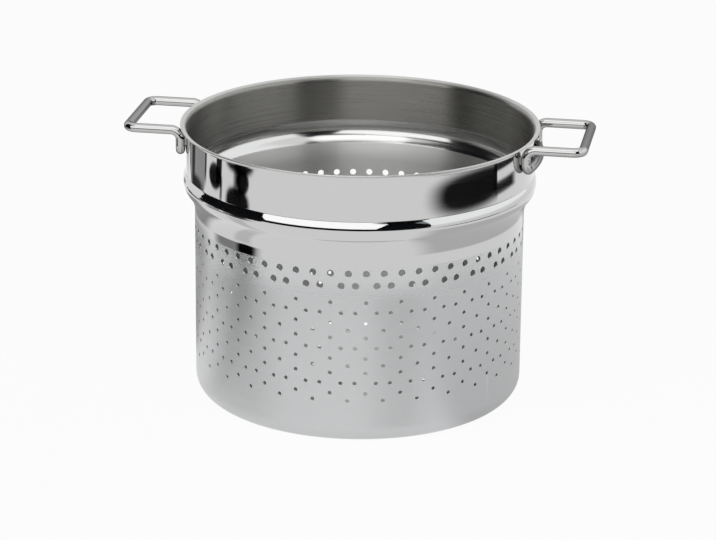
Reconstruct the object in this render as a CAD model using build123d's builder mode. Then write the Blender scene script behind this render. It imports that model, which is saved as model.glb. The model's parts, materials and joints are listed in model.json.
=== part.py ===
from build123d import *
from math import acos, asin, atan2, cos, degrees, radians, sin, sqrt
import os

# Strainer insert for a pasta pot: a pressed and drawn sheet shell with two welded rod loops.
# Millimetres, +Z up, +X through the right loop. The origin is the centre of the base's underside.

# Shell
sheet = 0.8
lid_diameter = 240.0
wall_set_in = 6.1
overall_height = 193.6
base_corner_radius = 13.0

# Stop bead, which hangs on the pot's rim, and the neck under it
bead_stand = 1.9
bead_drop = 39.3
bead_radius = 11.0
neck_radius = 24.0
crease_radius = 1.5

# Flared lip
lip_radius = 3.1
lip_flat = 0.6
lip_edge_radius = 0.35

# Wall perforation: one motif repeats round the wall, in tiers under two rows of larger holes
motif_count = 30
motif_tiers = 3
pair_share = 0.2
rise_share = 0.207
large_hole_diameter = 4.5
small_hole_diameter = 2.5
large_row_drop = 71.1
large_row_spacing = 8.6
large_row_gap = 15.3
lowest_row_height = 32.0

# Base perforation: rings about a plain centre
base_ring_margin = 5.7
base_ring_count = 6
base_first_ring_holes = 6

# Rod loops
rod_diameter = 6.5
loop_width = 68.6
loop_stand = 36.8
grip_drop = 2.5
leg_length = 2.5
bend_radius = 6.5
weld_gap = 0.25

# Weld nuggets between a loop and the collar
weld_length = 5.0
weld_width = 3.0
bar_weld_share = 0.5

# One overrun serves every cut
overrun = 1.0

# Heights below the lip, from the base's underside
bead_height = overall_height - bead_drop
large_row_height = overall_height - large_row_drop
grip_height = overall_height - grip_drop
leg_foot_height = grip_height - bend_radius - leg_length
bar_height = leg_foot_height - bend_radius

collar_radius = lid_diameter / 2 + sheet
body_radius = collar_radius - wall_set_in
bead_outer_radius = collar_radius + bead_stand
base_ring_pitch = (body_radius - base_corner_radius - base_ring_margin) / base_ring_count
loop_reach = collar_radius + loop_stand
rod_radius = rod_diameter / 2
loop_half_width = loop_width / 2


def swing(offset_across, radius_sum):
    """Angle of an S made of two tangent arcs that steps sideways by offset_across."""
    return acos(1 - offset_across / radius_sum)


# Section of the sheet, from the centre of the base out and up to the edge of the lip
neck_swing = swing(bead_outer_radius - body_radius, neck_radius + bead_radius)
neck_foot_height = bead_height - (neck_radius + bead_radius) * sin(neck_swing)
crease_swing = swing(bead_outer_radius - collar_radius, crease_radius + bead_radius)
lip_root_height = overall_height - sheet - lip_radius

with BuildPart() as strainer_body:
    with BuildSketch(Plane.XZ) as section:
        with BuildLine():
            base = Line((0, 0), (body_radius - base_corner_radius, 0))
            corner = JernArc(base @ 1, base % 1, base_corner_radius, 90)
            wall = Line(corner @ 1, (body_radius, neck_foot_height))
            neck = JernArc(wall @ 1, wall % 1, neck_radius, -degrees(neck_swing))
            bead = JernArc(neck @ 1, neck % 1, bead_radius, degrees(neck_swing + crease_swing))
            crease = JernArc(bead @ 1, bead % 1, crease_radius, -degrees(crease_swing))
            collar = Line(crease @ 1, (collar_radius, lip_root_height))
            lip = JernArc(collar @ 1, collar % 1, lip_radius, -90)
            Line(lip @ 1, (collar_radius + lip_radius + lip_flat, overall_height - sheet))
            offset(amount=sheet, side=Side.LEFT)
        make_face()
        fillet(section.vertices().group_by(Axis.X)[-1], radius=lip_edge_radius)
    revolve(axis=Axis.Z)

    # Punched holes of the wall, each square to it
    motif_angle = 360 / motif_count
    pair_angle = motif_angle * pair_share
    half_step = motif_angle / 2
    motif_height = (large_row_height - large_row_gap - lowest_row_height) / motif_tiers
    rise = motif_height * rise_share

    def ring(height, *angles):
        """Planes on the wall at one height, one for each angle in each motif."""
        planes = []
        for step in range(motif_count):
            for angle in angles:
                turn = radians(step * motif_angle + angle)
                outward = Vector(cos(turn), sin(turn), 0)
                middle = outward * (body_radius - sheet / 2) + Vector(0, 0, height)
                planes.append(Plane(origin=middle, z_dir=outward))
        return planes

    large_holes = ring(large_row_height, 0, half_step)
    large_holes += ring(large_row_height - large_row_spacing, -pair_angle, pair_angle)
    small_holes = []
    for tier in range(motif_tiers):
        centre_height = lowest_row_height + tier * motif_height
        small_holes += ring(centre_height, 0)
        small_holes += ring(centre_height + rise, half_step)
        small_holes += ring(centre_height + motif_height / 2, -pair_angle, pair_angle)
        small_holes += ring(centre_height + motif_height - rise, half_step)
    with Locations(*large_holes):
        Cylinder(large_hole_diameter / 2, sheet + 2 * overrun, mode=Mode.SUBTRACT)
    with Locations(*small_holes):
        Cylinder(small_hole_diameter / 2, sheet + 2 * overrun, mode=Mode.SUBTRACT)

    # Punched holes of the base
    with BuildSketch(Plane.XY):
        for ring_number in range(1, base_ring_count + 1):
            with PolarLocations(ring_number * base_ring_pitch, ring_number * base_first_ring_holes):
                Circle(large_hole_diameter / 2)
    extrude(amount=sheet, mode=Mode.SUBTRACT)
strainer_body.part.label = "strainer_body"

# Centre line of half a loop. The bar under the grip follows the collar, and the legs
# stand on tangents to it, one bend outside its ends.
bar_radius = collar_radius + weld_gap + rod_radius
bar_reach = sqrt(bar_radius**2 + bend_radius**2)
bar_swing = asin(loop_half_width / bar_reach) - atan2(bend_radius, bar_radius)
outward = Vector(cos(bar_swing), sin(bar_swing), 0)
along = Vector(-sin(bar_swing), cos(bar_swing), 0)
bar_end = outward * bar_radius + Vector(0, 0, bar_height)
leg_foot = bar_end + along * bend_radius + Vector(0, 0, bend_radius)
leg_top = Vector(leg_foot.X, leg_foot.Y, grip_height - bend_radius)
arm_root = leg_top + Vector(bend_radius, 0, bend_radius)
arm_tip = Vector(loop_reach - bend_radius, loop_half_width, grip_height)
grip_end = Vector(loop_reach, loop_half_width - bend_radius, grip_height)
grip_middle = Vector(loop_reach, 0, grip_height)
bar_middle = Vector(bar_radius, 0, bar_height)

with BuildPart() as handle_right:
    with BuildLine():
        Line(grip_middle, grip_end)
        TangentArc(grip_end, arm_tip, tangent=(0, 1, 0))
        Line(arm_tip, arm_root)
        TangentArc(arm_root, leg_top, tangent=(-1, 0, 0))
        Line(leg_top, leg_foot)
        TangentArc(leg_foot, bar_end, tangent=(0, 0, -1))
        TangentArc(bar_end, bar_middle, tangent=-along)
    with BuildSketch(Plane(origin=grip_middle, z_dir=(0, 1, 0))):
        Circle(rod_radius)
    sweep()
    mirror(about=Plane.XZ)
handle_right.part.label = "handle_right"

with BuildPart() as handle_left:
    mirror(handle_right.part, about=Plane.YZ)
handle_left.part.label = "handle_left"

# Nuggets fill the gap between the rod and the collar: one behind each leg, two behind the bar
leg_turn = degrees(atan2(leg_foot.Y, leg_foot.X))
bar_turn = degrees(bar_swing) * bar_weld_share
leg_middle_height = (leg_foot.Z + leg_top.Z) / 2
nugget_depth = weld_gap + rod_radius

with BuildPart() as welds_right:
    for turn, height, across, tall in (
        (leg_turn, leg_middle_height, weld_width, weld_length),
        (-leg_turn, leg_middle_height, weld_width, weld_length),
        (bar_turn, bar_height, weld_length, weld_width),
        (-bar_turn, bar_height, weld_length, weld_width),
    ):
        with Locations(Location((0, 0, height), (0, 0, turn))):
            with Locations((collar_radius, 0, 0)):
                Box(nugget_depth, across, tall)
    Cylinder(collar_radius, 2 * overall_height, mode=Mode.SUBTRACT)
    add(handle_right.part, mode=Mode.SUBTRACT)
welds_right.part.label = "welds_right"

with BuildPart() as welds_left:
    mirror(welds_right.part, about=Plane.YZ)
welds_left.part.label = "welds_left"

os.makedirs("parts", exist_ok=True)
for piece in (strainer_body, handle_right, handle_left, welds_right, welds_left):
    export_step(piece.part, os.path.join("parts", piece.part.label + ".step"))
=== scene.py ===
import json
from math import acos, atan2, cos, hypot, pi, radians, sin

import bpy
from mathutils import Matrix

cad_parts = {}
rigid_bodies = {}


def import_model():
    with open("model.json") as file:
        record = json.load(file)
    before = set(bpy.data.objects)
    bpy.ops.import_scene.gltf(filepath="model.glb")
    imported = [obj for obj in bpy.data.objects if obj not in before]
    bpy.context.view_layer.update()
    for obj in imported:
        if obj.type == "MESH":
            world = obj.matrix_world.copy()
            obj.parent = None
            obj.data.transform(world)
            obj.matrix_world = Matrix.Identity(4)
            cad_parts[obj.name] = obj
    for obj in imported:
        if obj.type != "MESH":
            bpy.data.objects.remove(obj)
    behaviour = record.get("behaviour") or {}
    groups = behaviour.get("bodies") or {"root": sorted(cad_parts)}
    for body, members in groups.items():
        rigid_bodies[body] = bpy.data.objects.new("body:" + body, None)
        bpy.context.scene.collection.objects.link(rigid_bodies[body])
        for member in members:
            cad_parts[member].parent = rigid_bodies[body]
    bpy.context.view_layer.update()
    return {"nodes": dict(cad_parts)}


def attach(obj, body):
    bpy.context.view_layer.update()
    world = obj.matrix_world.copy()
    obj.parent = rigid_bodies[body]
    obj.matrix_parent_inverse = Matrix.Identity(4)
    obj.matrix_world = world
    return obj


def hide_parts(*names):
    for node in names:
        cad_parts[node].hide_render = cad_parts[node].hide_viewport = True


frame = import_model()

# Camera. A long lens a little over two metres from the basket's axis and 0.8 m up,
# nine and a half degrees round towards the right-hand loop.
camera_data = bpy.data.cameras.new("camera")
camera_data.sensor_width = 36
camera_data.lens = 153.51
camera = bpy.data.objects.new("camera", camera_data)
bpy.context.scene.collection.objects.link(camera)
camera_azimuth = 9.5
camera_turn = radians(0.017)
camera_tilt = radians(90 - 19.176)
camera_roll = 0.0097
camera_distance = 2.0279
camera_height = 0.7909
camera.matrix_world = (
    Matrix.Rotation(radians(camera_azimuth), 4, "Z")
    @ Matrix.Translation((0, -camera_distance, camera_height))
    @ Matrix.Rotation(camera_turn, 4, "Z")
    @ Matrix.Rotation(camera_tilt, 4, "X")
    @ Matrix.Rotation(camera_roll, 4, "Z")
)
bpy.context.scene.camera = camera
bpy.context.scene.view_settings.view_transform = "Standard"

# Studio. A plain white floor under a white sky, lit by soft panels. The dark bands and patches
# in the polished steel are painted reflections: a dark hung cloth and dark patches painted on the
# floor, which only the steel sees.
floor_width = 60
floor_glow = 0.94
sky_light = 0.3
sky_seen = 1.0
bpy.ops.object.select_all(action="DESELECT")
bpy.ops.mesh.primitive_plane_add(size=floor_width)
floor = bpy.context.active_object
floor.name = "floor"


def seen_white(tree):
    """One where a ray from the camera, from metal or through glass looks, or nought."""
    paths = tree.nodes.new("ShaderNodeLightPath")
    total = paths.outputs["Is Camera Ray"]
    for name in ("Is Glossy Ray", "Is Transmission Ray"):
        either = tree.nodes.new("ShaderNodeMath")
        either.operation = "MAXIMUM"
        tree.links.new(total, either.inputs[0])
        tree.links.new(paths.outputs[name], either.inputs[1])
        total = either.outputs[0]
    return total


def studio_paint(name):
    """A material for the studio, with nothing in it but its output."""
    paint = bpy.data.materials.new(name)
    paint.use_nodes = True
    nodes, links = paint.node_tree.nodes, paint.node_tree.links
    nodes.clear()
    out = nodes.new("ShaderNodeOutputMaterial")
    return paint, nodes, links, out.inputs["Surface"]


floor_paint, nodes, links, shown = studio_paint("floor_white")
matt = nodes.new("ShaderNodeBsdfDiffuse")
matt.inputs["Color"].default_value = (0.88, 0.88, 0.88, 1)
glow = nodes.new("ShaderNodeEmission")
glow.inputs["Strength"].default_value = 1.0
blend = nodes.new("ShaderNodeMixShader")
share = nodes.new("ShaderNodeMath")
share.operation = "MULTIPLY"
links.new(seen_white(floor_paint.node_tree), share.inputs[0])
share.inputs[1].default_value = floor_glow
links.new(share.outputs[0], blend.inputs["Fac"])
links.new(matt.outputs[0], blend.inputs[1])
links.new(glow.outputs[0], blend.inputs[2])
links.new(blend.outputs[0], shown)
floor.data.materials.append(floor_paint)

room = bpy.data.worlds.new("room")
bpy.context.scene.world = room
room.use_nodes = True
sky = room.node_tree.nodes["Background"]
sky.inputs["Color"].default_value = (1, 1, 1, 1)
level = room.node_tree.nodes.new("ShaderNodeMapRange")
level.inputs["To Min"].default_value = sky_light
level.inputs["To Max"].default_value = sky_seen
room.node_tree.links.new(seen_white(room.node_tree), level.inputs["Value"])
room.node_tree.links.new(level.outputs[0], sky.inputs["Strength"])

dark_cloth, nodes, links, shown = studio_paint("dark_cloth")
matt = nodes.new("ShaderNodeBsdfDiffuse")
matt.inputs["Color"].default_value = (0.012, 0.013, 0.015, 1)
links.new(matt.outputs[0], shown)
sweep_steps = 40


def swept_sheet(name, azimuth, spread, radius, height, outwards, upwards, paint):
    """A sheet swept round the basket, which only the steel sees. Its section is a line from a
    radius and a height. Angles are in degrees, from the camera's side towards the right loop."""
    first = radians(azimuth - spread / 2 + camera_azimuth)
    bpy.ops.object.select_all(action="DESELECT")
    bpy.ops.mesh.primitive_plane_add(size=1)
    strip = bpy.context.active_object
    strip.name = name
    bpy.ops.object.mode_set(mode="EDIT")
    bpy.ops.mesh.merge(type="CENTER")
    bpy.ops.transform.translate(value=(radius * sin(first), -radius * cos(first), height))
    bpy.ops.mesh.extrude_region_move(
        TRANSFORM_OT_translate={"value": (outwards * sin(first), -outwards * cos(first), upwards)}
    )
    bpy.ops.mesh.select_all(action="SELECT")
    bpy.ops.mesh.spin(
        steps=sweep_steps, angle=-radians(spread), center=(0, 0, 0), axis=(0, 0, 1)
    )
    bpy.ops.object.mode_set(mode="OBJECT")
    strip.data.materials.append(paint)
    strip.visible_camera = False
    strip.visible_diffuse = False
    strip.visible_shadow = False


# The painted reflections lie in the order they are laid, each a tenth of a millimetre above the
# last.
painted_reflections_laid = []
painted_reflection_step = 0.0001
oval, square = 2.0, 12.0


def painted_reflection(name, azimuth, spread, inner, outer, passed, soft=0.3, trimmed=0, corners=square):
    """A patch painted dark on the floor between an inner and an outer radius, which only the steel
    sees:
    painted reflection, and painted shadow where it stands for shade on the floor. It lets a passed
    share of the light through, and clears towards each edge over a soft share of its half width.
    Its far end may have some degrees trimmed off. Its corners may be anything from oval to square."""
    paint, nodes, links, shown = studio_paint(name)
    turn = radians(azimuth + camera_azimuth)
    place = nodes.new("ShaderNodeTexCoord")

    def measure(operation, vector):
        node = nodes.new("ShaderNodeVectorMath")
        node.operation = operation
        links.new(place.outputs["Object"], node.inputs[0])
        node.inputs[1].default_value = vector
        return node.outputs["Value"]

    def sum_of(operation, first, second=None):
        node = nodes.new("ShaderNodeMath")
        node.operation = operation
        for socket, value in zip(node.inputs, (first, second)):
            if isinstance(value, float):
                socket.default_value = value
            elif value is not None:
                links.new(value, socket)
        return node.outputs[0]

    def squared(offset, half):
        return sum_of("POWER", sum_of("DIVIDE", sum_of("ABSOLUTE", offset), half), corners)

    across = measure("DOT_PRODUCT", (cos(turn), sin(turn), 0))
    along = measure("DOT_PRODUCT", (sin(turn), -cos(turn), 0))
    from_middle = sum_of("SUBTRACT", measure("LENGTH", (0, 0, 0)), (inner + outer) / 2)
    side = squared(sum_of("ARCTAN2", across, along), radians(spread / 2))
    depth = squared(from_middle, (outer - inner) / 2)
    edge = nodes.new("ShaderNodeMapRange")
    edge.interpolation_type = "SMOOTHSTEP"
    edge.inputs["From Min"].default_value = 1.0
    edge.inputs["From Max"].default_value = 1.0 - soft
    links.new(sum_of("POWER", sum_of("ADD", side, depth), 1 / corners), edge.inputs["Value"])
    tone = nodes.new("ShaderNodeMapRange")
    tone.inputs["To Min"].default_value = 1.0
    tone.inputs["To Max"].default_value = passed
    smoked = nodes.new("ShaderNodeBsdfTransparent")
    links.new(edge.outputs[0], tone.inputs["Value"])
    links.new(tone.outputs[0], smoked.inputs["Color"])
    links.new(smoked.outputs[0], shown)
    painted_reflections_laid.append(name)
    height = painted_reflection_step * len(painted_reflections_laid)
    kept = spread - trimmed
    swept_sheet(name, azimuth - trimmed / 2, kept, inner, height, outer - inner, 0, paint)


# In front and to the left the floor ends at a dark cloth, which gives the black bands of the
# bead and the collar's foot. The cloth, the floor's dark end and its dark right edge are painted
# reflection, seen only by the steel.
front_azimuth, front_spread, floor_reach, cloth_reach, cloth_height = -37, 164, 1.07, 3.5, 4.3
swept_sheet("hung_cloth", front_azimuth, front_spread, cloth_reach, 0, 0, cloth_height, dark_cloth)
painted_reflection("floor_end", front_azimuth, front_spread, floor_reach, cloth_reach, 0.01, soft=0.02)
painted_reflection("floor_edge_right", 95, 100, 1.04, 1.12, 0.35)

# Close to the basket the floor is half in shade, as the bead and the wall show it. These two
# patches are that shade, a painted shadow on the floor which only the steel sees.
painted_reflection("shade_right", 95, 130, 0.02, 0.4, 0.66)
painted_reflection("shade_behind", -165, 110, 0.02, 0.47, 0.35)

# The dark patch on the right of the collar, a painted reflection laid on the floor for the steel
# alone.
painted_reflection("right_dark", 74, 76, 0.575, 0.722, 0.01, soft=0.45, trimmed=18.5, corners=2.6)
painted_reflection("right_dark_top", 102, 26, 0.668, 0.7, 0.02, soft=0.2)
painted_reflection("right_dark_foot", 101.5, 29, 0.595, 0.645, 0.02, soft=0.5)

# The band round the left of the collar, and the patch and streak on the neck under it, all painted
# reflection laid on the floor for the steel alone.
painted_reflection("left_dark", -89, 60, 0.735, 1.3, 0.02, soft=0.1)
painted_reflection("left_under", -86, 50, 0.42, 0.57, 0.3, soft=0.4)
painted_reflection("left_neck", -76, 20, 0.4, 0.54, 0.01, soft=0.5, corners=oval)
painted_reflection("left_streak", -78, 20, 0.1, 0.42, 0.75, soft=0.6)

# The grey oval with its dark rim, furthest round to the left, a painted reflection laid on the
# floor for the steel alone.
painted_reflection("left_oval", -125.5, 27.5, 0.53, 0.78, 0.38, soft=0.12, corners=4.0)
painted_reflection("left_oval_bar", -131.5, 8, 0.545, 0.74, 0.15, soft=0.5, corners=4.0)
painted_reflection("left_oval_foot", -125, 27, 0.52, 0.6, 0.1, soft=0.6, corners=2.5)
painted_reflection("left_oval_back", -138.6, 2.5, 0.56, 0.76, 0.1, soft=0.5)
painted_reflection("left_edge", -147, 9, 0.5, 1.1, 0.2, soft=0.7)
painted_reflection("left_oval_front", -112, 3, 0.57, 0.76, 0.05, soft=0.6)

# The spot, bar and block between the oval and the front, painted reflection laid on the floor for
# the steel alone.
painted_reflection("left_spot", -101, 15, 0.588, 0.676, 0.01, soft=0.25, corners=oval)
painted_reflection("left_bar", -96.8, 6.5, 0.6, 0.72, 0.02)
painted_reflection("left_bar_foot", -94.3, 3, 0.56, 0.65, 0.2, soft=0.5)
painted_reflection("left_block_top", -79, 28, 0.662, 0.8, 0.01, soft=0.25, corners=3.0)
painted_reflection("left_block_side", -75.5, 12, 0.61, 0.695, 0.01, corners=oval)
painted_reflection("left_block_foot", -79.5, 23, 0.535, 0.637, 0.01, corners=2.5)
painted_reflection("left_block", -80, 9, 0.58, 0.74, 0.1, soft=0.8)

panel_distance = 2.6
panel_aim = 0.15


def panel(name, azimuth, elevation, width, height, radiance, tint=(1, 1, 1)):
    """A soft panel that faces the basket. Angles are in degrees, azimuth from the camera's side."""
    light = bpy.data.lights.new(name, "AREA")
    light.shape = "RECTANGLE"
    light.size = width
    light.size_y = height
    light.energy = radiance * pi * width * height
    light.color = tint
    lamp = bpy.data.objects.new(name, light)
    bpy.context.scene.collection.objects.link(lamp)
    lamp.matrix_world = (
        Matrix.Translation((0, 0, panel_aim))
        @ Matrix.Rotation(radians(azimuth + camera_azimuth), 4, "Z")
        @ Matrix.Rotation(radians(90 - elevation), 4, "X")
        @ Matrix.Translation((0, 0, panel_distance))
    )
    lamp.visible_camera = False


cool = (0.9, 0.96, 1.0)
panel("panel_front", -25, 25, 3.9, 1.9, 1.6)
panel("panel_right", 90, 24, 5.2, 1.9, 0.3, cool)
panel("panel_top", 0, 65, 2.4, 1.6, 0.8)

# Strainer shell. One blank of 0.8 mm stainless sheet, deep drawn, beaded and flared at the lip,
# then pierced from outside. The collar, bead and neck are mirror polished, the wall is satin
# with a blasted grain, and the inside keeps the lines of its turning and burnishing.
sheet = 0.0008
body_radius = 0.1147
base_corner = 0.013
overall_height = 0.1936
bead_reach, bead_height, bead_radius = 0.1227, 0.1543, 0.011
neck_radius = 0.024
crease_radius = 0.0015
collar_radius = 0.1208
lip_radius, lip_flat, lip_round = 0.0031, 0.0006, 0.00035
neck_swing = acos(1 - (bead_reach - body_radius) / (neck_radius + bead_radius))
crease_swing = acos(1 - (bead_reach - collar_radius) / (crease_radius + bead_radius))
neck_foot = bead_height - (neck_radius + bead_radius) * sin(neck_swing)
collar_foot = bead_height + (crease_radius + bead_radius) * sin(crease_swing)
lip_root = overall_height - sheet - lip_radius
shell_steps = 240
touching = 0.000001

# Rings this close to a bend keep the shading of the straight part beside it flat.
hold = 0.0003

# Heights where the outside's polish and the inside's burnishing end.
polish_foot = 0.1262
burnished_foot = 0.1445

outline = []


def follow(middle, radius, start, end, steps):
    """Adds an arc of the section in so many steps, with its angles in radians."""
    for step in range(steps + 1):
        turn = start + (end - start) * step / steps
        outline.append((middle[0] + radius * cos(turn), middle[1] + radius * sin(turn)))


corner_middle = (body_radius - base_corner, base_corner)
neck_middle = (body_radius + neck_radius, neck_foot)
bead_middle = (bead_reach - bead_radius, bead_height)
crease_middle = (collar_radius + crease_radius, collar_foot)
lip_middle = (collar_radius + lip_radius, lip_root)
edge_reach = collar_radius + lip_radius + lip_flat
follow(corner_middle, base_corner, -pi / 2, 0, 10)
for height in (base_corner + hold, polish_foot, neck_foot - hold):
    outline.append((body_radius, height))
follow(neck_middle, neck_radius, pi, pi - neck_swing, 12)
follow(bead_middle, bead_radius, -neck_swing, crease_swing, 22)
follow(crease_middle, crease_radius, pi + crease_swing, pi, 6)
outline += [(collar_radius, collar_foot + hold), (collar_radius, lip_root - hold)]
follow(lip_middle, lip_radius, pi, pi / 2, 9)
follow((edge_reach - lip_round, lip_root + lip_radius + lip_round), lip_round, -pi / 2, 0, 4)
follow((edge_reach - lip_round, overall_height - lip_round), lip_round, 0, pi / 2, 4)
follow(lip_middle, lip_radius + sheet, pi / 2, pi, 9)
outline += [(collar_radius - sheet, lip_root - hold), (collar_radius - sheet, collar_foot + hold)]
follow(crease_middle, crease_radius + sheet, pi, pi + crease_swing, 6)
follow(bead_middle, bead_radius - sheet, crease_swing, -neck_swing, 18)
follow(neck_middle, neck_radius + sheet, pi - neck_swing, pi, 12)
outline += [(body_radius - sheet, neck_foot - hold), (body_radius - sheet, base_corner + hold)]
follow(corner_middle, base_corner - sheet, 0, -pi / 2, 10)

bpy.ops.object.select_all(action="DESELECT")
bpy.ops.mesh.primitive_plane_add(size=sheet)
shell = bpy.context.active_object
shell.name = "strainer_shell"
bpy.ops.object.mode_set(mode="EDIT")
bpy.ops.mesh.merge(type="CENTER")
last = (0, 0)
for count, point in enumerate(outline):
    move = {"value": (point[0] - last[0], 0, point[1] - last[1])}
    if count == 0:
        bpy.ops.transform.translate(**move)
    elif hypot(move["value"][0], move["value"][2]) > touching:
        bpy.ops.mesh.extrude_region_move(TRANSFORM_OT_translate=move)
    last = point
bpy.ops.mesh.select_all(action="SELECT")
bpy.ops.mesh.spin(steps=shell_steps, angle=2 * pi, center=(0, 0, 0), axis=(0, 0, 1))
bpy.ops.mesh.select_all(action="SELECT")
bpy.ops.mesh.remove_doubles(threshold=touching)
bpy.ops.mesh.select_all(action="DESELECT")
bpy.ops.mesh.select_mode(type="EDGE")
bpy.ops.mesh.select_non_manifold()
bpy.ops.mesh.fill_holes(sides=0)
bpy.ops.mesh.select_all(action="SELECT")
bpy.ops.mesh.normals_make_consistent(inside=False)
bpy.ops.object.mode_set(mode="OBJECT")

# Punches. The wall's holes repeat in a motif of twelve degrees, two rows of large holes over
# three tiers of small ones, and the base has six rings. Each punch opens a little at the face
# it enters, which leaves the small rounding of a pierced edge.
motif_count = 30
motif_tiers = 3
pair_share = 0.2
rise_share = 0.207
large_hole, large_sides = 0.00225, 16
small_hole, small_sides = 0.00125, 12
large_row = 0.1225
large_row_spacing = 0.0086
large_row_gap = 0.0153
lowest_row = 0.032
motif_angle = 2 * pi / motif_count
pair_angle = motif_angle * pair_share
motif_height = (large_row - large_row_gap - lowest_row) / motif_tiers
rise = motif_height * rise_share
punch_reach = 0.001
mouth = 0.0002

bpy.ops.object.select_all(action="DESELECT")
bpy.ops.mesh.primitive_plane_add(size=sheet)
punches = bpy.context.active_object
punches.name = "punches"
bpy.ops.object.mode_set(mode="EDIT")
bpy.ops.mesh.delete(type="VERT")
bpy.ops.mesh.select_mode(type="FACE")


def punch(radius, foot, outward, sides):
    """One punch through the sheet. foot is the middle of its mouth on the sheet's outer face."""
    tilt = atan2(hypot(outward[0], outward[1]), outward[2])
    turn = atan2(outward[1], outward[0])
    depth = sheet + punch_reach
    bpy.ops.mesh.select_all(action="DESELECT")
    bpy.ops.mesh.primitive_circle_add(
        vertices=sides,
        radius=radius,
        fill_type="NGON",
        location=[foot[k] - outward[k] * depth for k in range(3)],
        rotation=(0, tilt, turn),
    )
    flare = (radius + mouth) / radius
    for step, scale in ((depth - mouth, 1), (mouth, flare), (punch_reach, flare)):
        depth -= step
        bpy.ops.mesh.extrude_region_move(
            TRANSFORM_OT_translate={"value": [outward[k] * step for k in range(3)]}
        )
        around = [foot[k] - outward[k] * depth for k in range(3)]
        bpy.ops.transform.resize(value=(scale, scale, scale), center_override=around)


def pierce_round(copies):
    """Copies the selected punches round the basket's axis."""
    step = 2 * pi / copies
    bpy.ops.mesh.spin(
        steps=copies - 1, angle=step * (copies - 1), dupli=True, center=(0, 0, 0), axis=(0, 0, 1)
    )


rows = [(large_row, (0, motif_angle / 2), large_hole)]
rows.append((large_row - large_row_spacing, (-pair_angle, pair_angle), large_hole))
for tier in range(motif_tiers):
    height = lowest_row + tier * motif_height
    rows.append((height, (0,), small_hole))
    rows.append((height + rise, (motif_angle / 2,), small_hole))
    rows.append((height + motif_height / 2, (-pair_angle, pair_angle), small_hole))
    rows.append((height + motif_height - rise, (motif_angle / 2,), small_hole))
for height, angles, radius in rows:
    for angle in angles:
        outward = (cos(angle), sin(angle), 0)
        foot = (body_radius * outward[0], body_radius * outward[1], height)
        punch(radius, foot, outward, large_sides if radius == large_hole else small_sides)
bpy.ops.mesh.select_all(action="SELECT")
pierce_round(motif_count)

ring_count = 6
ring_pitch = 0.016
first_ring_holes = 6
for ring in range(1, ring_count + 1):
    punch(large_hole, (ring * ring_pitch, 0, 0), (0, 0, -1), large_sides)
    bpy.ops.mesh.select_linked()
    pierce_round(ring * first_ring_holes)
bpy.ops.mesh.select_all(action="SELECT")
bpy.ops.mesh.normals_make_consistent(inside=False)
bpy.ops.object.mode_set(mode="OBJECT")

# Finishes. Each face takes its own from the side it is on and its height.
polished = bpy.data.materials.new("polished_steel")
satin = bpy.data.materials.new("satin_steel")
# The collar's inside takes a brushed steel whose dark colour is painted shade inside the collar.
brushed_painted_shade = bpy.data.materials.new("brushed_steel_painted_shade")
pierced = bpy.data.materials.new("pierced_edge_steel")
burnished = bpy.data.materials.new("burnished_steel")
spun = bpy.data.materials.new("spun_steel")
for finish in (polished, satin, brushed_painted_shade, pierced, burnished, spun):
    shell.data.materials.append(finish)
    punches.data.materials.append(finish)
polished_slot, satin_slot, brushed_painted_shade_slot, pierced_slot, burnished_slot, spun_slot = range(6)
for face in punches.data.polygons:
    face.material_index = pierced_slot

bpy.context.view_layer.objects.active = shell
pierce = shell.modifiers.new("pierce", "BOOLEAN")
pierce.operation = "DIFFERENCE"
pierce.solver = "EXACT"
pierce.material_mode = "INDEX"
pierce.object = punches
bpy.ops.object.modifier_apply(modifier=pierce.name)
bpy.data.objects.remove(punches)

axis_reach = 0.001
facing = 0.01
for face in shell.data.polygons:
    if face.material_index == pierced_slot:
        continue
    x, y, z = face.center
    reach = hypot(x, y)
    outward = (face.normal[0] * x + face.normal[1] * y) / reach if reach > axis_reach else 0
    outside = outward > facing or (z < base_corner and face.normal[2] < -facing)
    in_corner = z < base_corner and reach > body_radius - base_corner
    if z > lip_root + lip_radius:
        face.material_index = spun_slot
    elif outside:
        face.material_index = polished_slot if z > polish_foot else satin_slot
    elif z > collar_foot + hold:
        face.material_index = brushed_painted_shade_slot
    elif z > burnished_foot or in_corner:
        face.material_index = burnished_slot
    else:
        face.material_index = spun_slot
smooth_angle = radians(30)
bpy.ops.object.select_all(action="DESELECT")
shell.select_set(True)
bpy.ops.object.shade_smooth_by_angle(angle=smooth_angle)


quarter_turn = 0.25


def steel(material, colour, roughness, anisotropy=0.0):
    """Bare stainless steel. Highlights stretch across the polishing lines, which run round.
    roughness is the even value, which turned_lines or mottled then varies."""
    material.use_nodes = True
    surface = material.node_tree.nodes["Principled BSDF"]
    surface.inputs["Base Color"].default_value = (*colour, 1)
    surface.inputs["Metallic"].default_value = 1
    surface.inputs["Roughness"].default_value = roughness
    surface.inputs["Anisotropic"].default_value = anisotropy
    surface.inputs["Anisotropic Rotation"].default_value = quarter_turn
    tangent = material.node_tree.nodes.new("ShaderNodeTangent")
    tangent.direction_type = "RADIAL"
    tangent.axis = "Z"
    material.node_tree.links.new(tangent.outputs[0], surface.inputs["Tangent"])
    return surface


def work_surface(material, pattern, low, high, lowest, highest, depth):
    """Varies a steel's roughness between lowest and highest as a pattern goes from low to high,
    and lets the pattern stand depth metres deep."""
    nodes, links = material.node_tree.nodes, material.node_tree.links
    surface = nodes["Principled BSDF"]
    blend = nodes.new("ShaderNodeMapRange")
    blend.inputs["From Min"].default_value = low
    blend.inputs["From Max"].default_value = high
    blend.inputs["To Min"].default_value = lowest
    blend.inputs["To Max"].default_value = highest
    links.new(pattern, blend.inputs["Value"])
    links.new(blend.outputs[0], surface.inputs["Roughness"])
    relief = nodes.new("ShaderNodeBump")
    relief.inputs["Distance"].default_value = depth
    links.new(pattern, relief.inputs["Height"])
    links.new(relief.outputs[0], surface.inputs["Normal"])


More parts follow.
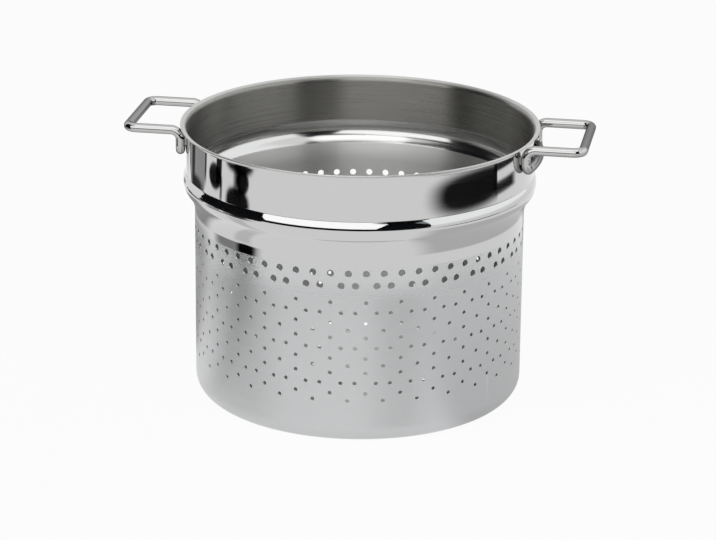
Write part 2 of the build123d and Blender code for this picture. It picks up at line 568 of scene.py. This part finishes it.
def turned_lines(material, fineness, lowest, highest, depth):
    """Polishing lines that run round the basket's axis, with a roughness between lowest and
    highest, depth metres deep. They follow the sheet up the wall and out over the base."""
    nodes, links = material.node_tree.nodes, material.node_tree.links
    place = nodes.new("ShaderNodeTexCoord")
    parts = nodes.new("ShaderNodeSeparateXYZ")
    flat = nodes.new("ShaderNodeVectorMath")
    flat.operation = "MULTIPLY"
    flat.inputs[1].default_value = (1, 1, 0)
    reach = nodes.new("ShaderNodeVectorMath")
    reach.operation = "LENGTH"
    around = nodes.new("ShaderNodeVectorMath")
    around.operation = "NORMALIZE"
    climb = nodes.new("ShaderNodeMath")
    climb.operation = "ADD"
    lines = nodes.new("ShaderNodeTexNoise")
    lines.noise_dimensions = "4D"
    lines.inputs["Scale"].default_value = 1.0
    lines.inputs["Detail"].default_value = 4.0
    lines.inputs["Roughness"].default_value = 0.65
    spacing = nodes.new("ShaderNodeMath")
    spacing.operation = "MULTIPLY"
    spacing.inputs[1].default_value = fineness
    links.new(place.outputs["Object"], parts.inputs[0])
    links.new(place.outputs["Object"], flat.inputs[0])
    links.new(flat.outputs[0], reach.inputs[0])
    links.new(flat.outputs[0], around.inputs[0])
    links.new(reach.outputs["Value"], climb.inputs[0])
    links.new(parts.outputs["Z"], climb.inputs[1])
    links.new(climb.outputs[0], spacing.inputs[0])
    links.new(around.outputs[0], lines.inputs["Vector"])
    links.new(spacing.outputs[0], lines.inputs["W"])
    work_surface(material, lines.outputs[0], 0.3, 0.7, lowest, highest, depth)


steel(polished, (0.59, 0.59, 0.588), 0.03)
steel(satin, (0.59, 0.595, 0.6), 0.35, 0.8)
# The collar's inside is far darker than the other steel: its colour is painted shade inside the
# collar, over a real brushed finish.
steel(brushed_painted_shade, (0.31, 0.305, 0.29), 0.3, 0.97)
steel(pierced, (0.5, 0.5, 0.5), 0.3)
steel(burnished, (0.6, 0.6, 0.59), 0.16, 0.6)
steel(spun, (0.62, 0.62, 0.61), 0.45, 0.97)
turned_lines(polished, 900, 0.02, 0.05, 0.0000004)
turned_lines(satin, 1400, 0.31, 0.38, 0.000002)
turned_lines(brushed_painted_shade, 1900, 0.22, 0.4, 0.000003)
turned_lines(burnished, 1700, 0.1, 0.22, 0.000003)
turned_lines(spun, 1900, 0.38, 0.52, 0.000003)

# The polishing wheel runs a little way down the wall, so the satin starts gradually.
polish_run = 0.03
polish_share = 0.2
nodes, links = satin.node_tree.nodes, satin.node_tree.links
surface = nodes["Principled BSDF"]
place = nodes.new("ShaderNodeTexCoord")
parts = nodes.new("ShaderNodeSeparateXYZ")
fade = nodes.new("ShaderNodeMapRange")
fade.interpolation_type = "SMOOTHSTEP"
fade.inputs["From Min"].default_value = polish_foot - polish_run
fade.inputs["From Max"].default_value = polish_foot
fade.inputs["To Min"].default_value = 1.0
fade.inputs["To Max"].default_value = polish_share
dulled = nodes.new("ShaderNodeMath")
dulled.operation = "MULTIPLY"
links.new(surface.inputs["Roughness"].links[0].from_socket, dulled.inputs[0])
links.new(place.outputs["Object"], parts.inputs[0])
links.new(parts.outputs["Z"], fade.inputs["Value"])
links.new(fade.outputs[0], dulled.inputs[1])
links.new(dulled.outputs[0], surface.inputs["Roughness"])

# Blasting leaves a fine even grain over the satin's lines.
grain_fineness = 1200
grain_depth = 0.00012
grain = nodes.new("ShaderNodeTexNoise")
grain.inputs["Scale"].default_value = grain_fineness
grain.inputs["Detail"].default_value = 2.0
pitted = nodes.new("ShaderNodeBump")
pitted.inputs["Distance"].default_value = grain_depth
links.new(place.outputs["Object"], grain.inputs["Vector"])
links.new(grain.outputs[0], pitted.inputs["Height"])
links.new(surface.inputs["Normal"].links[0].from_socket, pitted.inputs["Normal"])
links.new(pitted.outputs[0], surface.inputs["Normal"])

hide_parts("strainer_body")
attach(shell, "root")

# Loops. Round stainless rod, bent to a flat grip, two drops and a bar that lies along the
# collar, and closed into a ring. The polish is a little uneven, and the darker tint at
# grazing angles gives the rod its dark edges.
rod_edge_tint = (0.25, 0.25, 0.26, 1)
rod_steel = bpy.data.materials.new("rod_steel")
rod_surface = steel(rod_steel, (0.5, 0.5, 0.495), 0.06)
rod_surface.inputs["Specular Tint"].default_value = rod_edge_tint


def mottled(material, fineness, lowest, highest, depth):
    """Uneven polish, with a roughness between lowest and highest, depth metres deep."""
    nodes, links = material.node_tree.nodes, material.node_tree.links
    place = nodes.new("ShaderNodeTexCoord")
    cloud = nodes.new("ShaderNodeTexNoise")
    cloud.inputs["Scale"].default_value = fineness
    cloud.inputs["Detail"].default_value = 6.0
    cloud.inputs["Roughness"].default_value = 0.6
    links.new(place.outputs["Object"], cloud.inputs["Vector"])
    work_surface(material, cloud.outputs[0], 0.35, 0.7, lowest, highest, depth)
    return cloud


mottled(rod_steel, 260, 0.03, 0.14, 0.00001)
for name in ("handle_right", "handle_left"):
    rod = frame["nodes"][name]
    rod.data.materials.clear()
    rod.data.materials.append(rod_steel)

# Welds. Small nuggets of fused steel between each loop and the collar, rippled where they
# froze and tinted from straw to blue grey by their heat.
straw = (0.52, 0.47, 0.38, 1)
blue_grey = (0.3, 0.31, 0.35, 1)
weld_steel = bpy.data.materials.new("weld_steel")
weld_surface = steel(weld_steel, (0.5, 0.47, 0.43), 0.35)
ripples = mottled(weld_steel, 900, 0.22, 0.5, 0.00008)
tint = weld_steel.node_tree.nodes.new("ShaderNodeValToRGB")
tint.color_ramp.elements[0].position = 0.35
tint.color_ramp.elements[0].color = blue_grey
tint.color_ramp.elements[1].position = 0.65
tint.color_ramp.elements[1].color = straw
weld_steel.node_tree.links.new(ripples.outputs[0], tint.inputs["Fac"])
weld_steel.node_tree.links.new(tint.outputs["Color"], weld_surface.inputs["Base Color"])
for name in ("welds_right", "welds_left"):
    weld = frame["nodes"][name]
    weld.data.materials.clear()
    weld.data.materials.append(weld_steel)
